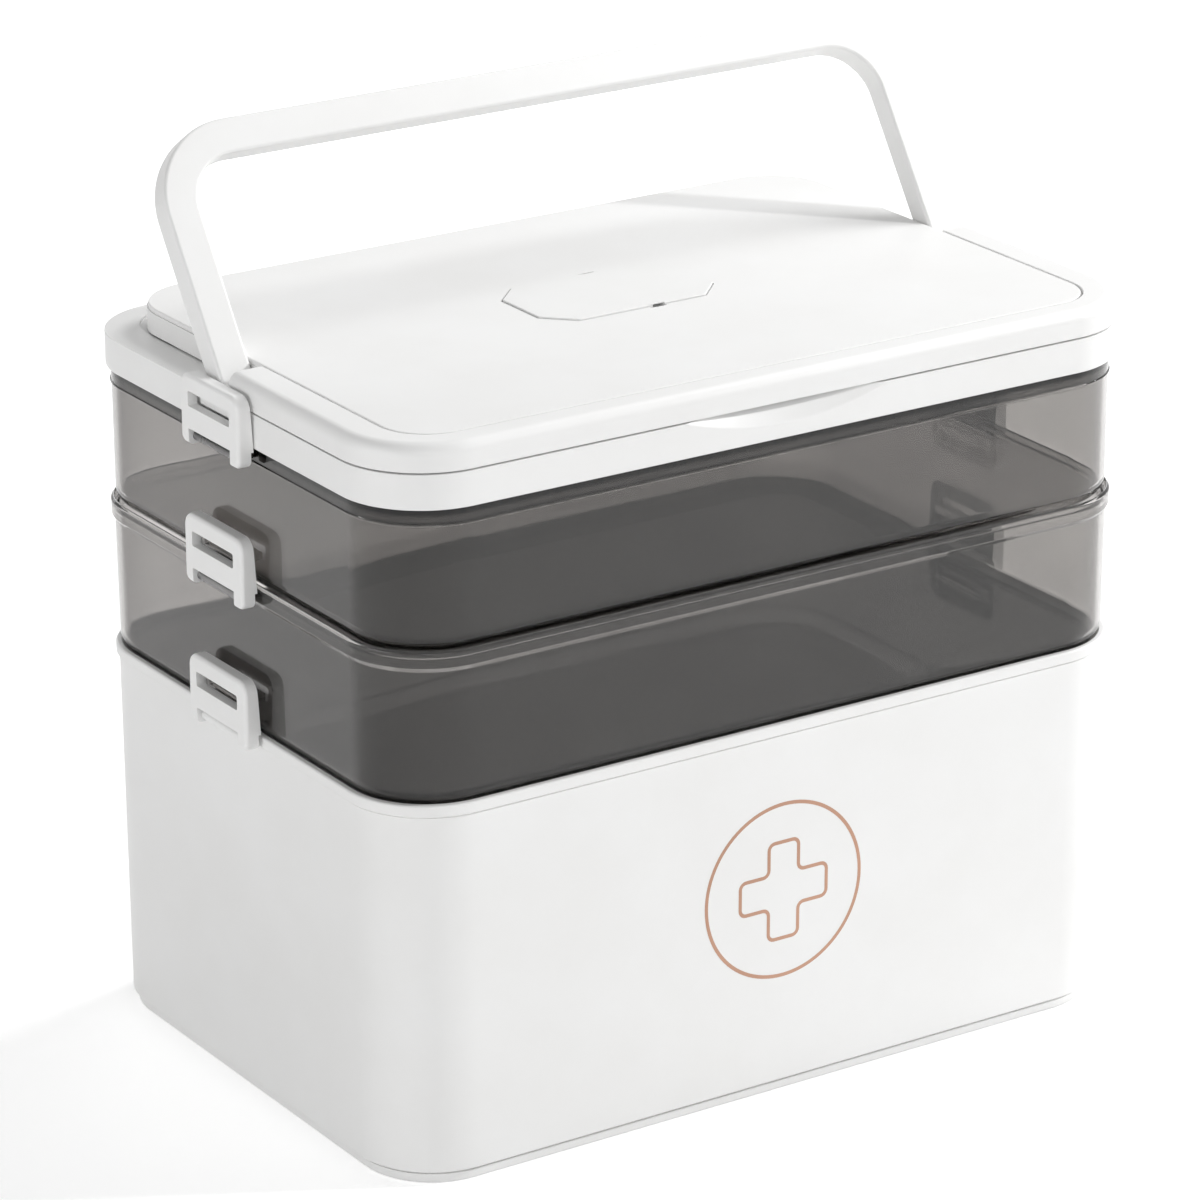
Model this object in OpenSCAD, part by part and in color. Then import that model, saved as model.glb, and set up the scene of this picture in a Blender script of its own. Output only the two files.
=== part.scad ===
// Three-tier medicine storage box: white base, two smoked trays, white lid with a flip cover,
// a bail handle, and a snap clip on each side of every joint between tiers.
// Millimetres. +X is to the right, -Y is the front, +Z is up, and Z = 0 is the floor.

/* [Overall] */
// Outer width of the lid, left to right
lid_w = 325; // [315:1:335]
// Outer depth of the lid, front to back
lid_d = 226; // [220:1:232]
// Corner radius of the lid, seen from above
lid_r = 33; // [31:0.5:36]
// How far the tray and base walls stand back from the edge of the lid
wall_inset = 1.8; // [1.6:0.1:2.2]

/* [Base box] */
// Height of the base box, to the top of its rim
base_top = 146.7; // [140:0.1:152]
// Height of the rim bead round the top of the base
base_rim_h = 5.1; // [4.8:0.1:6]
// Wall thickness of the base
base_t = 2.6; // [2.2:0.1:3]
// Height of the foot ring
foot_h = 4.5; // [3.5:0.5:6]
// How far the foot ring stands back from the wall
foot_inset = 2.4; // [1.5:0.1:4]

/* [Trays] */
// Height of the middle tray's rim above the floor
mid_top = 204; // [202:0.1:206]
// Height of the middle tray's rim band
mid_rim_h = 7.5; // [7:0.5:8.5]
// Wall thickness of the trays
tray_t = 2.2; // [1.8:0.1:2.6]
// Depth by which a tray sits inside the rim below it
nest = 3.5; // [3:0.1:4]
// Radius of the trays' lower outside edge
tray_edge = 8; // [6:0.5:9]

/* [Lid] */
// Height of the lid's lower edge
lid_low = 255; // [254:0.5:257]
// Height of the seam between the lid body and the flip cover
seam_z = 268; // [267:0.5:269]
// Height of the top of the lid
lid_top = 278.7; // [278:0.1:280]
// Width of the ledge at each side, where the handle's arms lie
side_ledge = 14.1; // [13.8:0.1:14.4]
// Radius of the cover's upper outside edge
cover_edge = 4.5; // [3:0.5:5]
// Back edge of the flip cover, from the centre
cover_back = 99.2; // [98.6:0.1:99.4]
// Radius of the cover's rear corners, seen from above
back_r = 24; // [19:0.5:26]
// Front edge of the top panel, from the centre
panel_front = 101.3; // [100:0.1:102]
// Radius of the top panel's upper edge
panel_edge = 0.9; // [0.6:0.1:0.9]
// How far the badge stands above the top panel
badge_rise = 0.6; // [0:0.1:0.8]
// Width of the finger scoop
scoop_w = 84; // [60:1:90]
// Height of the finger scoop
scoop_h = 7; // [5:0.5:8]

/* [Handle] */
// Angle of the raised handle above the flat, at its stop
handle_up = 56.1; // [50:0.1:58]
// Length of the arms from the pivot to the top of the grip
handle_len = 99; // [97:0.1:100]
// Width of the bar, seen from the front
bar_w = 13.3; // [12:0.1:13.4]
// Thickness of the bar
bar_t = 10; // [9:0.1:10.2]
// Depth position of the pivot
pivot_y = 15.6; // [15.4:0.1:15.8]
// Height of the pivot
pivot_z = 260; // [259.8:0.1:260.4]

/* [Clips] */
// Width of a clip
clip_w = 41; // [40:0.5:44]
// Height of a clip above its hinge pin
clip_up = 23.2; // [22:0.1:25]
// Heights of the three hinge pins
clip_z = [145.1, 198.8, 251.4]; // [145:0.1:253]
// Thickness of a clip's face plate
clip_plate = 3.8; // [2.2:0.1:4]

/* [Hidden] */
$fn = 64;

// Colours
white = [0.93, 0.93, 0.92];
warm_white = [0.90, 0.90, 0.89];
smoke = [0.32, 0.31, 0.31, 0.55];
steel = [0.72, 0.73, 0.75];

// Outlines, each as width, depth and corner radius
rim = [lid_w - 0.4, lid_d - 0.4, lid_r - 0.2];
wall = [lid_w - 2*wall_inset, lid_d - 2*wall_inset, lid_r - wall_inset];
fit = 0.3;
seat_in = 0.4;
nest_hole = [wall[0] + 2*fit, wall[1] + 2*fit, wall[2] + fit];
skirt_t = 1.6;
seat_rib = 2.4;
deck_t = 2.2;
lap_top = seam_z - 11.6;

// The lid body's well and the flip cover's outline
cover_w = lid_w - 2*side_ledge;
cover_r = lid_r - side_ledge;
well_w = cover_w - 4.8;
well_front = 105;
well_back = 93;
well_r = 14;
well_floor = seam_z - 7.8;
trough_w = cover_w - 0.8;
trough_back = 106;
trough_deep = 1.2;
panel_t = 1.9;
panel_gap = 0.5;
cover_t = 2;
cover_end = -3;
cover_low = seam_z + 0.3;

// The octagonal badge let into the top panel
badge_w = 77;
badge_d = 47;
badge_cut = 11;
badge_t = 1.2;
badge_y = 1.5;
badge_gap = 0.4;
pry_w = 7;
pry_x = 6;

// The flip cover's hinge
hinge_y = cover_back - 3;
hinge_z = lid_top - 4.5;
hinge_x = 95;
hinge_pin_r = 1;
lug_r = 2.3;
hinge_lug_w = 7;
hinge_block_w = 26;

// The handle's pivot
arm_in = lid_w/2 - 0.4 - bar_w;
ear_x = [lid_w/2 - 11.1, lid_w/2 - 3.9];
ear_gap = 0.3;
pivot_r = 2;
run = 0.05;
ear_disc = 7.4;
ear_back = 3.4;
front_face = 18.7;

// The clips and what they hook over
hinge_out = lid_w/2 + 3.5;
clip_face = 3.1;
clip_flange = 2.8;
flange_in = -1.7;
leg_in = 14.7;
window_z = [11.4, 17];
lug_w = 27.8;
clip_pin_r = 1;
clip_pin_len = 37;
catch_w = 26;
catch_z = [11.9, 14.7];
catch_out = clip_face - clip_plate - 0.2;

// A rounded rectangle, seen from above
module plan(size) {
    r = size[2];
    square([size[0] - 2*r, size[1]], center = true);
    square([size[0], size[1] - 2*r], center = true);
    for (x = [-1, 1], y = [-1, 1])
        translate([x*(size[0]/2 - r), y*(size[1]/2 - r)]) circle(r);
}

// An upright block on that outline, from z0 to z1
module block(size, z0, z1) {
    translate([0, 0, z0]) linear_extrude(z1 - z0) plan(size);
}

// Half of a section through a block: from a corner's own axis out to its face, edges rounded
module half_section(r, h, low, high) {
    square([r - low, h/2]);
    translate([0, h/2]) square([r - high, h/2]);
    translate([0, low]) square([r, h - low - high]);
    if (low > 0) translate([r - low, low]) circle(low);
    if (high > 0) translate([r - high, h - high]) circle(high);
}

// A block whose lower and upper outside edges are rounded
module soft_block(size, z0, z1, low = 0, high = 0) {
    r = size[2];
    h = z1 - z0;
    translate([0, 0, z0]) {
        translate([r - size[0]/2, r - size[1]/2, 0]) cube([size[0] - 2*r, size[1] - 2*r, h]);
        for (k = [0:3]) {
            out = size[k % 2]/2 - r;
            side = size[(k + 1) % 2] - 2*r;
            rotate(90*k) translate([out, 0, 0]) rotate([90, 0, 0])
                linear_extrude(side, center = true) half_section(r, h, low, high);
            rotate(90*k) translate([out, side/2, 0])
                rotate_extrude(angle = 90) half_section(r, h, low, high);
        }
    }
}

// An outline made smaller all round
function inset(size, t) = [size[0] - 2*t, size[1] - 2*t, size[2] - t];

// A box between two corners
module span(low, high) {
    translate(low) cube(high - low);
}

// Both sides of something drawn on the right
module both_sides() {
    children();
    mirror([1, 0, 0]) children();
}

// Hinge barrel and web that carry a clip, on the wall whose face is at x
module clip_lug(z, x) {
    translate([hinge_out, 0, z]) rotate([90, 0, 0]) cylinder(r = lug_r, h = lug_w, center = true);
    span([x - 1, -lug_w/2, z - lug_r], [hinge_out, lug_w/2, z + 1.6]);
}

module clip_bore(z, r, length) {
    translate([hinge_out, 0, z]) rotate([90, 0, 0]) cylinder(r = r, h = length, center = true);
}

// Catch that a clip's window closes over
module catch(z, x) {
    span([x - 1, -catch_w/2, z + catch_z[0]], [hinge_out + catch_out, catch_w/2, z + catch_z[1]]);
}

module base_box() {
    color(white) difference() {
        union() {
            block(inset(wall, foot_inset), 0, foot_h + 3);
            soft_block(wall, foot_h, base_top - 1, low = 2.5);
            soft_block(rim, base_top - base_rim_h, base_top, low = 1.2, high = 1.2);
            both_sides() clip_lug(clip_z[0], rim[0]/2);
        }
        block(inset(wall, foot_inset + 5), -1, 1.5);
        soft_block(inset(wall, base_t), foot_h, base_top + 1, low = 6);
        block(nest_hole, base_top - nest, base_top + 1);
        both_sides() clip_bore(clip_z[0], clip_pin_r, lug_w + 1);
    }
}

module middle_tray() {
    low = base_top - nest;
    color(smoke) difference() {
        union() {
            soft_block(wall, low, mid_top - 1, low = tray_edge);
            block(inset(wall, seat_in), low, low + nest - 0.5);
            soft_block(rim, mid_top - mid_rim_h, mid_top, low = 1.4, high = 1.4);
            both_sides() clip_lug(clip_z[1], rim[0]/2);
            both_sides() catch(clip_z[0], wall[0]/2);
        }
        soft_block(inset(wall, tray_t), low + tray_t, mid_top + 1, low = tray_edge - tray_t);
        block(nest_hole, mid_top - nest, mid_top + 1);
        both_sides() clip_bore(clip_z[1], clip_pin_r, lug_w + 1);
    }
}

module upper_tray() {
    low = mid_top - nest;
    lap = inset([lid_w, lid_d, lid_r], skirt_t + 0.5);
    color(smoke) difference() {
        union() {
            soft_block(wall, low, lid_low - 0.3, low = tray_edge);
            block(lap, lid_low - 3, lap_top);
            block(inset(wall, seat_in), low, low + nest - 0.5);
            both_sides() clip_lug(clip_z[2], wall[0]/2);
            both_sides() catch(clip_z[1], wall[0]/2);
        }
        soft_block(inset(wall, tray_t), low + tray_t, lid_top, low = tray_edge - tray_t);
        both_sides() clip_bore(clip_z[2], clip_pin_r, lug_w + 1);
        // relief under the lid's handle bosses
        both_sides() span([lid_w/2 - 20, -8, lid_low - 0.3], [lid_w/2, 27, lid_top]);
    }
}

// The flip cover's outline behind the front band, moved to its place
module cover_plan(t) {
    depth = cover_back + lid_d/2 - cover_r;
    translate([0, cover_back - depth/2]) plan([cover_w - 2*t, depth - 2*t, back_r - t]);
}

// Shallow trough in the lid behind the cover, in which the cover's rear edge turns
module hinge_trough() {
    intersection() {
        translate([0, trough_back - 90, seam_z - trough_deep])
            linear_extrude(9) plan([trough_w, 180, back_r]);
        span([-lid_w, 60, 0], [lid_w, lid_d, lid_top]);
    }
}

// Crescent cut for the fingers, under the cover's front edge
module scoop() {
    r = (pow(scoop_w/2, 2) + pow(scoop_h, 2))/(2*scoop_h);
    translate([0, -lid_d/2 + 5, seam_z - 0.5 - scoop_h + r]) rotate([90, 0, 0])
        cylinder(r = r, h = 10, $fn = 200);
}

// Slot in the side ledge through which a handle ear works
module ear_slot() {
    x0 = ear_x[0] - ear_gap;
    x1 = ear_x[1] + ear_gap;
    span([x0, cover_end + 0.6, lid_low - 1], [x1, pivot_y + 4.6, seam_z + 1]);
    translate([x0, pivot_y, pivot_z]) rotate([0, 90, 0]) cylinder(r = ear_disc + ear_gap, h = x1 - x0);
}

// Lug on the lid that carries one of the flip cover's pins
module cover_lug() {
    x = hinge_x - hinge_lug_w/2;
    translate([x, hinge_y, hinge_z]) rotate([0, 90, 0]) cylinder(r = lug_r, h = hinge_lug_w);
    span([x, hinge_y - lug_r, seam_z - 2], [x + hinge_lug_w, hinge_y + lug_r, hinge_z]);
}

module lid_shell() {
    outer = [lid_w, lid_d, lid_r];
    well_y = (well_back - well_front)/2;
    well = [well_w, well_back + well_front, well_r];
    difference() {
        union() {
            difference() {
                soft_block(outer, lid_low, seam_z, low = 0.8);
                block(inset(outer, skirt_t), lid_low - 1, lap_top);
                block(inset(outer, skirt_t + seat_rib), lid_low - 1, seam_z - deck_t);
            }
            translate([0, well_y, 0]) block(inset(well, -2), well_floor - 1.8, seam_z);
            both_sides() span([lid_w/2 - 15, -6, lid_low], [lid_w/2 - 0.5, 25, seam_z]);
            span([-scoop_w/2 - 4, -lid_d/2 + 0.6, lap_top + 0.3],
                [scoop_w/2 + 4, -well_front + 0.5, seam_z]);
            both_sides() catch(clip_z[2], lid_w/2);
        }
        translate([0, well_y, 0]) block(well, well_floor, seam_z + 1);
        intersection() {
            scoop();
            span([-scoop_w, -lid_d/2 - 1, lid_low], [scoop_w, -lid_d/2 + 5, seam_z + 1]);
        }
        hinge_trough();
        both_sides() ear_slot();
        both_sides() translate([lid_w/2 - 16, pivot_y, pivot_z]) rotate([0, 90, 0])
            cylinder(r = pivot_r, h = 15.3);
    }
}

module lid_body() {
    color(warm_white) difference() {
        union() {
            lid_shell();
            both_sides() cover_lug();
        }
        both_sides() translate([hinge_x - 20, hinge_y, hinge_z]) rotate([0, 90, 0])
            cylinder(r = hinge_pin_r, h = 40);
    }
}

module flip_cover() {
    outer = [lid_w, lid_d, lid_r];
    front = [-lid_w, -lid_d, 0];
    panel_z = lid_top - panel_t;
    color(white) difference() {
        union() {
            intersection() {
                soft_block(outer, cover_low, lid_top, high = cover_edge);
                span(front, [lid_w, cover_end, lid_top + 1]);
            }
            difference() {
                translate([0, 0, cover_low]) linear_extrude(panel_z - cover_low) cover_plan(0);
                span([-lid_w, hinge_y - 1.7, 0], [lid_w, lid_d, cover_low + 0.9]);
            }
        }
        // seat of the top panel
        translate([0, 0, panel_z]) linear_extrude(9) panel_plan(-panel_gap);
        // hollow underside
        difference() {
            union() {
                translate([0, 0, cover_low - 1]) linear_extrude(panel_z - cover_t - cover_low + 1)
                    cover_plan(cover_t);
                intersection() {
                    block(inset(outer, cover_t), cover_low - 1, panel_z - cover_t);
                    span(front, [lid_w, cover_end - cover_t, lid_top]);
                }
            }
            both_sides() span([hinge_x - hinge_block_w/2, hinge_y - 3.2, hinge_z - 3.4],
                [hinge_x + hinge_block_w/2, cover_back, lid_top]);
        }
        // gaps for the hinge lugs, and the pin bores
        both_sides() span([hinge_x - hinge_lug_w/2 - 0.5, hinge_y - 4, 0],
            [hinge_x + hinge_lug_w/2 + 0.5, cover_back + 1, panel_z]);
        both_sides() translate([hinge_x - hinge_block_w/2 + 1, hinge_y, hinge_z]) rotate([0, 90, 0])
            cylinder(r = hinge_pin_r + run, h = hinge_block_w - 2);
    }
}

// Outline of the top panel, made smaller all round by t
module panel_plan(t) {
    wide = cover_w - 2*panel_gap - 2*t;
    long = cover_back - 0.3 + panel_front - 2*t;
    middle = (cover_back - 0.3 - panel_front)/2;
    intersection() {
        translate([0, middle]) plan([wide, long, cover_r - panel_gap - t]);
        translate([0, middle - 20]) plan([wide, long + 40, back_r - t]);
    }
}

// The badge's octagon, made smaller all round by t
module octagon(t) {
    x = badge_w/2 - t;
    y = badge_d/2 - t;
    c = badge_cut - 0.59*t;
    translate([0, badge_y]) polygon([[x, y - c], [x - c, y], [c - x, y], [-x, y - c],
        [-x, c - y], [c - x, -y], [x - c, -y], [x, c - y]]);
}

module cover_panel() {
    color(white) difference() {
        intersection() {
            translate([0, (cover_back - 0.3 - panel_front)/2, 0])
                soft_block([cover_w - 2*panel_gap, cover_back - 0.3 + panel_front, cover_r - panel_gap],
                    lid_top - panel_t, lid_top, high = panel_edge);
            translate([0, 0, lid_top - 9]) linear_extrude(10) panel_plan(0);
        }
        translate([0, 0, lid_top - badge_t]) linear_extrude(9) octagon(0);
        // pry slots at the badge's front and back edges
        for (side = [-1, 1])
            translate([pry_x, badge_y + side*badge_d/2, lid_top])
                cube([pry_w, 2.4, 2*badge_t], center = true);
    }
}

module top_badge() {
    color(warm_white) difference() {
        translate([0, 0, lid_top - badge_t]) linear_extrude(badge_t + badge_rise) octagon(badge_gap);
        for (side = [-1, 1])
            translate([pry_x, badge_y + side*badge_d/2, lid_top]) cube([pry_w, 2.4, 9], center = true);
    }
}

// Outline of an ear round the pivot: the disc that fills the slot, and the neck up to the arm
module ear_section() {
    intersection() {
        circle(ear_disc);
        polygon([[0, 0], [20*cos(-16), 20*sin(-16)], [20, 20], [-20, 20], [20*cos(140), 20*sin(140)]]);
    }
    circle(ear_back);
    translate([-ear_back, 0]) square([2*ear_back, front_face]);
}

// The handle lying flat: X across, Y along the arms and Z through the bar, from the pivot
module handle_flat() {
    half = lid_w/2 - 0.4;
    translate([0, 0, front_face - bar_t]) linear_extrude(bar_t) difference() {
        translate([0, handle_len/2 - 10]) plan([2*half, handle_len + 20, lid_r - 0.4]);
        translate([0, handle_len/2 - bar_w - 10])
            plan([2*arm_in, handle_len + 20, lid_r - 0.4 - bar_w]);
        translate([-lid_w, -80]) square([2*lid_w, 80 - 6]);
    }
}

module handle() {
    color(white) difference() {
        union() {
            difference() {
                translate([0, pivot_y, pivot_z]) rotate([handle_up, 0, 0]) handle_flat();
                span([-lid_w, -lid_d, 0], [lid_w, lid_d, seam_z + 0.3]);
            }
            both_sides() translate([ear_x[0], pivot_y, pivot_z]) rotate([handle_up, 0, 0])
                rotate([90, 0, 90]) linear_extrude(ear_x[1] - ear_x[0]) ear_section();
        }
        translate([-lid_w, pivot_y, pivot_z]) rotate([0, 90, 0])
            cylinder(r = pivot_r + run, h = 2*lid_w);
    }
}

module handle_pin() {
    color(steel) translate([lid_w/2 - 14.5, pivot_y, pivot_z]) rotate([0, 90, 0])
        cylinder(r = pivot_r, h = 13.6);
}

module cover_pin() {
    color(steel) translate([hinge_x - hinge_block_w/2 + 1.5, hinge_y, hinge_z]) rotate([0, 90, 0])
        cylinder(r = hinge_pin_r, h = hinge_block_w - 3);
}

// Front outline of a clip, above and below its hinge pin
module clip_plan() {
    top_r = 5;
    half = clip_w/2;
    translate([-half, 0]) square([clip_w, clip_up - top_r]);
    translate([top_r - half, 0]) square([clip_w - 2*top_r, clip_up]);
    for (side = [-1, 1]) translate([side*(half - top_r), clip_up - top_r]) circle(top_r);
}

// A clip drawn on the right, with its hinge pin's axis through the origin
module clip() {
    color(white) difference() {
        union() {
            difference() {
                translate([flange_in, 0, 0]) rotate([90, 0, 90])
                    linear_extrude(clip_face - flange_in) clip_plan();
                span([flange_in - 1, clip_flange - clip_w/2, -1],
                    [clip_face - clip_plate, clip_w/2 - clip_flange, clip_up + 1]);
                span([-9, -leg_in, window_z[0]], [9, leg_in, window_z[1]]);
                span([-9, -leg_in, -9], [9, leg_in, 3]);
            }
            for (side = [-1, 1]) translate([0, side*(leg_in + clip_w/2)/2, 0]) rotate([90, 0, 0])
                linear_extrude(clip_w/2 - leg_in, center = true) {
                    circle(2.6);
                    translate([clip_face - 2.6, -0.4]) circle(2.6);
                    translate([flange_in, -0.4]) square([clip_face - flange_in, 4.4]);
                }
        }
        rotate([90, 0, 0]) cylinder(r = clip_pin_r + run, h = clip_pin_len + 0.6, center = true);
    }
}

module right_clip(z) {
    translate([hinge_out, 0, z]) clip();
}

module right_pin(z) {
    color(steel) clip_bore(z, clip_pin_r, clip_pin_len);
}

base_box();
middle_tray();
upper_tray();
lid_body();
flip_cover();
cover_panel();
top_badge();
handle();
mirror([1, 0, 0]) handle_pin();  // handle_pin_left
handle_pin();  // handle_pin_right
mirror([1, 0, 0]) cover_pin();  // cover_pin_left
cover_pin();  // cover_pin_right
mirror([1, 0, 0]) right_clip(clip_z[0]);  // clip_lower_left
right_clip(clip_z[0]);  // clip_lower_right
mirror([1, 0, 0]) right_clip(clip_z[1]);  // clip_middle_left
right_clip(clip_z[1]);  // clip_middle_right
mirror([1, 0, 0]) right_clip(clip_z[2]);  // clip_upper_left
right_clip(clip_z[2]);  // clip_upper_right
mirror([1, 0, 0]) right_pin(clip_z[0]);  // clip_pin_lower_left
right_pin(clip_z[0]);  // clip_pin_lower_right
mirror([1, 0, 0]) right_pin(clip_z[1]);  // clip_pin_middle_left
right_pin(clip_z[1]);  // clip_pin_middle_right
mirror([1, 0, 0]) right_pin(clip_z[2]);  // clip_pin_upper_left
right_pin(clip_z[2]);  // clip_pin_upper_right
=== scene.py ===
from math import atan2, cos, pi, radians, sin, tan

import bmesh
import bpy
from mathutils import Euler, Matrix, Vector


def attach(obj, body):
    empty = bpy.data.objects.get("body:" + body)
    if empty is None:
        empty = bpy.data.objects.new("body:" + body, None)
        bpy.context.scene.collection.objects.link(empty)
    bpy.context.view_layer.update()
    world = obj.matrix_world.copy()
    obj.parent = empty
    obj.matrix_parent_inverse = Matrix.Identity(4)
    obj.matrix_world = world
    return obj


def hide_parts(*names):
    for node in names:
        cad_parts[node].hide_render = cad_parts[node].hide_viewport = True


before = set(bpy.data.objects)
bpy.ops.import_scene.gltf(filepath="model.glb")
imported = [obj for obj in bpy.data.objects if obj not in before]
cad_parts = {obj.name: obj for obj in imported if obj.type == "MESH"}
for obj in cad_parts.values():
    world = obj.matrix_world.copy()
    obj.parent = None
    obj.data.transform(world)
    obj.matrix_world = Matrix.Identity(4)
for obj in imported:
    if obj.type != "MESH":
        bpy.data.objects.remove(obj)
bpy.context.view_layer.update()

# Studio
# A pale floor under large soft lamps, as for a product picture on white.
# The camera stands in front and to the left, a little above the lid.
camera_place = (-1.0642, -1.6210, 0.8846)
camera_turn = 33.161
camera_dip = 20.518
camera_roll = -0.20
camera_lens = 166.34
world_light = 0.30
floor_half = 6
floor_lift = 0.44
smallest_softbox = 0.5


def new_material(name):
    """A material with its nodes and links."""
    material = bpy.data.materials.new(name)
    material.use_nodes = True
    return material, material.node_tree.nodes, material.node_tree.links


def add_node(nodes, kind, **values):
    """A node with some of its settings changed."""
    node = nodes.new(kind)
    for name, value in values.items():
        setattr(node, name, value)
    return node


view = bpy.data.objects.new("camera", bpy.data.cameras.new("camera"))
view.data.lens = camera_lens
view.data.sensor_width = 36
view.data.clip_end = 50
view.location = camera_place
aim = Euler((radians(90 - camera_dip), 0, radians(-camera_turn))).to_matrix()
view.rotation_euler = (aim @ Matrix.Rotation(radians(camera_roll), 3, "Z")).to_euler()
bpy.context.scene.collection.objects.link(view)
bpy.context.scene.camera = view
bpy.context.scene.view_settings.view_transform = "Standard"

lamps = [
    # name, place, aim, width, height, watts
    ("side_softbox", (1.45, 0.20, 1.50), (0, 0, 0.25), 0.9, 0.8, 25),
    ("front_softbox", (-0.80, -2.13, 1.00), (0, 0, 0.15), 1.4, 1.2, 11),
    ("right_key", (2.28, -1.42, 1.61), (0, 0, 0.27), 0.16, 0.16, 45),
    ("left_fill", (-2.20, -0.10, 0.45), (0, 0, 0.15), 1.2, 0.8, 12),
    ("back_fill", (0.20, 2.30, 1.00), (0, 0, 0.20), 1.4, 1.2, 6),
]
for name, place, target, width, height, watts in lamps:
    lamp = bpy.data.lights.new(name, "AREA")
    lamp.shape = "RECTANGLE"
    lamp.size = width
    lamp.size_y = height
    lamp.energy = watts
    holder = bpy.data.objects.new(name, lamp)
    holder.location = place
    holder.rotation_euler = (Vector(target) - Vector(place)).to_track_quat("-Z", "Y").to_euler()
    holder.visible_transmission = width > smallest_softbox
    bpy.context.scene.collection.objects.link(holder)


def seeing_rays(nodes, links):
    """1 for the rays that see a backdrop, straight or through gloss and clear plastic; 0 for the others."""
    path = nodes.new("ShaderNodeLightPath")
    straight = add_node(nodes, "ShaderNodeMath", operation="MAXIMUM")
    through = add_node(nodes, "ShaderNodeMath", operation="MAXIMUM")
    links.new(path.outputs["Is Camera Ray"], straight.inputs[0])
    links.new(path.outputs["Is Glossy Ray"], straight.inputs[1])
    links.new(straight.outputs[0], through.inputs[0])
    links.new(path.outputs["Is Transmission Ray"], through.inputs[1])
    return through.outputs[0]


surround = bpy.data.worlds.new("studio")
surround.use_nodes = True
bpy.context.scene.world = surround
nodes, links = surround.node_tree.nodes, surround.node_tree.links
nodes.clear()
plain = nodes.new("ShaderNodeBackground")
plain.inputs["Strength"].default_value = world_light
white = nodes.new("ShaderNodeBackground")
white.inputs["Strength"].default_value = 1.0
choose = nodes.new("ShaderNodeMixShader")
links.new(seeing_rays(nodes, links), choose.inputs["Fac"])
links.new(plain.outputs[0], choose.inputs[1])
links.new(white.outputs[0], choose.inputs[2])
links.new(choose.outputs[0], nodes.new("ShaderNodeOutputWorld").inputs["Surface"])
for background in (plain, white):
    background.inputs["Color"].default_value = (1, 1, 1, 1)

floor_mesh = bpy.data.meshes.new("floor")
floor_mesh.from_pydata([(-floor_half, -floor_half, 0), (floor_half, -floor_half, 0),
                        (floor_half, floor_half, 0), (-floor_half, floor_half, 0)], [], [(0, 1, 2, 3)])
floor = bpy.data.objects.new("floor", floor_mesh)
bpy.context.scene.collection.objects.link(floor)
floor_paper, nodes, links = new_material("floor_paper")
paper = nodes["Principled BSDF"]
paper.inputs["Base Color"].default_value = (0.93, 0.93, 0.93, 1)
paper.inputs["Roughness"].default_value = 0.9
paper.inputs["Specular IOR Level"].default_value = 0.1
paper.inputs["Emission Color"].default_value = (1, 1, 1, 1)
lift = add_node(nodes, "ShaderNodeMath", operation="MULTIPLY")
lift.inputs[1].default_value = floor_lift
links.new(seeing_rays(nodes, links), lift.inputs[0])
links.new(lift.outputs[0], paper.inputs["Emission Strength"])
floor_mesh.materials.append(floor_paper)

# White moulded shells
# The base, lid, cover, handle and clips are moulded in satin white polypropylene.
# A spark-eroded mould gives the fine grain; handling leaves faint polished and dusty patches.
MM = 0.001


def make_skin_group():
    """Grain, slow mottling and soft patches of a moulded surface, from the piece's own coordinates."""
    group = bpy.data.node_groups.new("moulded_skin", "ShaderNodeTree")
    made = group.interface
    for name, value in (("Grain Size", 0.5), ("Patch Size", 40.0)):
        socket = made.new_socket(name, in_out="INPUT", socket_type="NodeSocketFloat")
        socket.default_value = value
    made.new_socket("Place", in_out="INPUT", socket_type="NodeSocketVector")
    for name in ("Grain", "Mottle", "Patches"):
        made.new_socket(name, in_out="OUTPUT", socket_type="NodeSocketFloat")
    nodes, links = group.nodes, group.links
    inside, outside = nodes.new("NodeGroupInput"), nodes.new("NodeGroupOutput")

    # Sizes are in millimetres and coordinates in metres, so a size of 1 is a scale of 1000.
    # The patches have a lower scale, which makes them somewhat larger than the mottling.
    for name, size, scale, detail, rough in (
        ("Grain", "Grain Size", 1000, 2, 0.6),
        ("Mottle", "Patch Size", 1000, 4, 0.55),
        ("Patches", "Patch Size", 700, 8, 0.7),
    ):
        rate = add_node(nodes, "ShaderNodeMath", operation="DIVIDE")
        rate.inputs[0].default_value = scale
        links.new(inside.outputs[size], rate.inputs[1])
        noise = nodes.new("ShaderNodeTexNoise")
        noise.inputs["Detail"].default_value = detail
        noise.inputs["Roughness"].default_value = rough
        links.new(rate.outputs[0], noise.inputs["Scale"])
        links.new(inside.outputs["Place"], noise.inputs["Vector"])
        links.new(noise.outputs["Fac"], outside.inputs[name])
    return group


moulded_skin = make_skin_group()


def skin_on(nodes, links, place, patch, grain):
    """The moulded skin at the given coordinates, with the size of its patches and of its grain."""
    skin = add_node(nodes, "ShaderNodeGroup", node_tree=moulded_skin)
    skin.inputs["Patch Size"].default_value = patch
    skin.inputs["Grain Size"].default_value = grain
    links.new(place.outputs["Object"], skin.inputs["Place"])
    return skin


def tint_by(nodes, links, value, low, high, dark, light):
    """A colour that goes from dark to light while the value goes from low to high."""
    tint = nodes.new("ShaderNodeValToRGB")
    for mark, position, colour in zip(tint.color_ramp.elements, (low, high), (dark, light)):
        mark.position = position
        mark.color = (*colour, 1)
    links.new(value, tint.inputs["Fac"])
    return tint.outputs["Color"]


def range_by(nodes, links, value, low, high, start, end):
    """A number that goes from start to end while the value goes from low to high."""
    band = nodes.new("ShaderNodeMapRange")
    for name, limit in (("From Min", low), ("From Max", high), ("To Min", start), ("To Max", end)):
        band.inputs[name].default_value = limit
    links.new(value, band.inputs["Value"])
    return band.outputs["Result"]


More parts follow.
